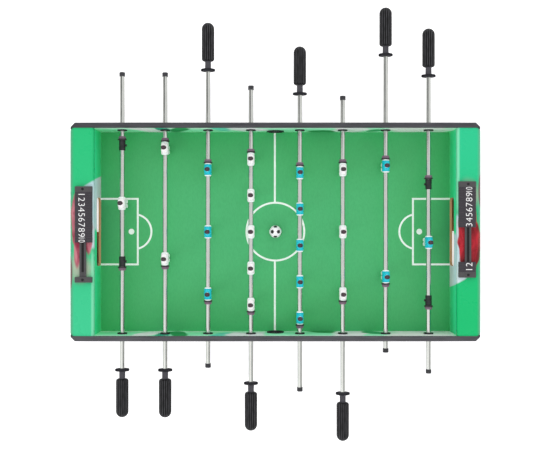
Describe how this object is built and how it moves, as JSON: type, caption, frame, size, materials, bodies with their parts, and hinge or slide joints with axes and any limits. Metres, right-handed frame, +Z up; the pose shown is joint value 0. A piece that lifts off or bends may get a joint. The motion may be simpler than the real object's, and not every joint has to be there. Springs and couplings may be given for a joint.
{
  "type": "tabletop foosball table",
  "caption": "Low tabletop football game: open box with sliding, spinning player rods across it, a goal at each end, abacus score counters on the end decks and a ball.",
  "frame": {"origin": "middle of the table on the surface that it stands on", "axes": "+X from the left goal to the right goal, the way the white side plays; +Y along the rods to the far side, where the blue handles are; +Z up"},
  "size_m": [0.9566, 1.0271, 0.1856],
  "materials": {
    "side_laminate": "dark grey laminated MDF outside, printed inside",
    "deck_laminate": "glossy printed green laminate on MDF",
    "end_laminate": "dark grey laminated MDF",
    "goal_laminate": "printed green laminate with bare MDF edges",
    "pitch_laminate": "printed semi-gloss green playing surface",
    "bare_mdf": "raw brown MDF",
    "bearing_plastic": "black moulded nylon",
    "cup_plastic": "black moulded plastic",
    "counter_plastic": "satin black moulded plastic",
    "foot_rubber": "black rubber",
    "screw_steel": "zinc plated steel",
    "rod_chrome": "polished chrome plate",
    "white_player_plastic": "white moulded plastic",
    "blue_player_plastic": "cyan blue moulded plastic",
    "grip_plastic": "satin black moulded plastic",
    "cap_plastic": "dark grey moulded plastic",
    "bumper_rubber": "purple-grey rubber",
    "ball_plastic": "white and black hard plastic"
  },
  "bodies": {
    "table": {"near_side_panel": "side_laminate", "far_side_panel": "side_laminate", "left_end_panel": "end_laminate", "right_end_panel": "end_laminate", "left_goal_wall": "goal_laminate", "right_goal_wall": "goal_laminate", "left_end_deck": "deck_laminate", "right_end_deck": "deck_laminate", "pitch_board": "pitch_laminate", "goal_ramps": "bare_mdf", "rod_bearings": "bearing_plastic", "ball_entry_cups": "cup_plastic", "score_rails": "counter_plastic", "feet": "foot_rubber", "assembly_screws": "screw_steel"},
    "white_goalie_carriage": {"white_goalie_bumpers": "bumper_rubber"},
    "white_goalie_rod_set": {"white_goalie_rod": "rod_chrome", "white_goalie_players": "white_player_plastic", "white_goalie_handle": "grip_plastic", "white_goalie_end_cap": "cap_plastic"},
    "white_defence_carriage": {"white_defence_bumpers": "bumper_rubber"},
    "white_defence_rod_set": {"white_defence_rod": "rod_chrome", "white_defence_players": "white_player_plastic", "white_defence_handle": "grip_plastic", "white_defence_end_cap": "cap_plastic"},
    "blue_attack_carriage": {"blue_attack_bumpers": "bumper_rubber"},
    "blue_attack_rod_set": {"blue_attack_rod": "rod_chrome", "blue_attack_players": "blue_player_plastic", "blue_attack_handle": "grip_plastic", "blue_attack_end_cap": "cap_plastic"},
    "white_midfield_carriage": {"white_midfield_bumpers": "bumper_rubber"},
    "white_midfield_rod_set": {"white_midfield_rod": "rod_chrome", "white_midfield_players": "white_player_plastic", "white_midfield_handle": "grip_plastic", "white_midfield_end_cap": "cap_plastic"},
    "blue_midfield_carriage": {"blue_midfield_bumpers": "bumper_rubber"},
    "blue_midfield_rod_set": {"blue_midfield_rod": "rod_chrome", "blue_midfield_players": "blue_player_plastic", "blue_midfield_handle": "grip_plastic", "blue_midfield_end_cap": "cap_plastic"},
    "white_attack_carriage": {"white_attack_bumpers": "bumper_rubber"},
    "white_attack_rod_set": {"white_attack_rod": "rod_chrome", "white_attack_players": "white_player_plastic", "white_attack_handle": "grip_plastic", "white_attack_end_cap": "cap_plastic"},
    "blue_defence_carriage": {"blue_defence_bumpers": "bumper_rubber"},
    "blue_defence_rod_set": {"blue_defence_rod": "rod_chrome", "blue_defence_players": "blue_player_plastic", "blue_defence_handle": "grip_plastic", "blue_defence_end_cap": "cap_plastic"},
    "blue_goalie_carriage": {"blue_goalie_bumpers": "bumper_rubber"},
    "blue_goalie_rod_set": {"blue_goalie_rod": "rod_chrome", "blue_goalie_players": "blue_player_plastic", "blue_goalie_handle": "grip_plastic", "blue_goalie_end_cap": "cap_plastic"},
    "ball": {"ball": "ball_plastic"},
    "left_beads_1_to_9": {"left_beads_1_to_9": "counter_plastic"},
    "left_bead_10": {"left_bead_10": "counter_plastic"},
    "right_beads_1_to_2": {"right_beads_1_to_2": "counter_plastic"},
    "right_beads_3_to_10": {"right_beads_3_to_10": "counter_plastic"}
  },
  "joints": [
    {"name": "white_goalie_slide", "type": "slide", "parent": "table", "child": "white_goalie_carriage", "axis": [0, 1, 0], "range_m": [-0.11055, 0.0124]},
    {"name": "white_goalie_spin", "type": "hinge", "parent": "white_goalie_carriage", "child": "white_goalie_rod_set", "pos_m": [-0.36305, 0, 0.135], "axis": [0, 1, 0], "continuous": true},
    {"name": "white_defence_slide", "type": "slide", "parent": "table", "child": "white_defence_carriage", "axis": [0, 1, 0], "range_m": [-0.11005, 0.0162]},
    {"name": "white_defence_spin", "type": "hinge", "parent": "white_defence_carriage", "child": "white_defence_rod_set", "pos_m": [-0.26135, 0, 0.135], "axis": [0, 1, 0], "continuous": true},
    {"name": "blue_attack_slide", "type": "slide", "parent": "table", "child": "blue_attack_carriage", "axis": [0, 1, 0], "range_m": [-0.0669, 0.05445]},
    {"name": "blue_attack_spin", "type": "hinge", "parent": "blue_attack_carriage", "child": "blue_attack_rod_set", "pos_m": [-0.15965, 0, 0.135], "axis": [0, 1, 0], "continuous": true},
    {"name": "white_midfield_slide", "type": "slide", "parent": "table", "child": "white_midfield_carriage", "axis": [0, 1, 0], "range_m": [-0.0421, 0.0421]},
    {"name": "white_midfield_spin", "type": "hinge", "parent": "white_midfield_carriage", "child": "white_midfield_rod_set", "pos_m": [-0.05795, 0, 0.135], "axis": [0, 1, 0], "continuous": true},
    {"name": "blue_midfield_slide", "type": "slide", "parent": "table", "child": "blue_midfield_carriage", "axis": [0, 1, 0], "range_m": [-0.0102, 0.074]},
    {"name": "blue_midfield_spin", "type": "hinge", "parent": "blue_midfield_carriage", "child": "blue_midfield_rod_set", "pos_m": [0.05795, 0, 0.135], "axis": [0, 1, 0], "continuous": true},
    {"name": "white_attack_slide", "type": "slide", "parent": "table", "child": "white_attack_carriage", "axis": [0, 1, 0], "range_m": [-0.05445, 0.0669]},
    {"name": "white_attack_spin", "type": "hinge", "parent": "white_attack_carriage", "child": "white_attack_rod_set", "pos_m": [0.15965, 0, 0.135], "axis": [0, 1, 0], "continuous": true},
    {"name": "blue_defence_slide", "type": "slide", "parent": "table", "child": "blue_defence_carriage", "axis": [0, 1, 0], "range_m": [-0.1078, 0.01845]},
    {"name": "blue_defence_spin", "type": "hinge", "parent": "blue_defence_carriage", "child": "blue_defence_rod_set", "pos_m": [0.26135, 0, 0.135], "axis": [0, 1, 0], "continuous": true},
    {"name": "blue_goalie_slide", "type": "slide", "parent": "table", "child": "blue_goalie_carriage", "axis": [0, 1, 0], "range_m": [-0.0548, 0.06815]},
    {"name": "blue_goalie_spin", "type": "hinge", "parent": "blue_goalie_carriage", "child": "blue_goalie_rod_set", "pos_m": [0.36305, 0, 0.135], "axis": [0, 1, 0], "continuous": true},
    {"name": "ball_lift", "type": "slide", "parent": "table", "child": "ball", "axis": [0, 0, 1], "range_m": [0, 0.15]},
    {"name": "left_beads_1_to_9_slide", "type": "slide", "parent": "table", "child": "left_beads_1_to_9", "axis": [0, -1, 0], "range_m": [0, 0.08]},
    {"name": "left_bead_10_slide", "type": "slide", "parent": "left_beads_1_to_9", "child": "left_bead_10", "axis": [0, 1, 0], "range_m": [-0.08, 0]},
    {"name": "right_beads_1_to_2_slide", "type": "slide", "parent": "table", "child": "right_beads_1_to_2", "axis": [0, -1, 0], "range_m": [-0.08, 0]},
    {"name": "right_beads_3_to_10_slide", "type": "slide", "parent": "table", "child": "right_beads_3_to_10", "axis": [0, -1, 0], "range_m": [0, 0.08]}
  ]
}
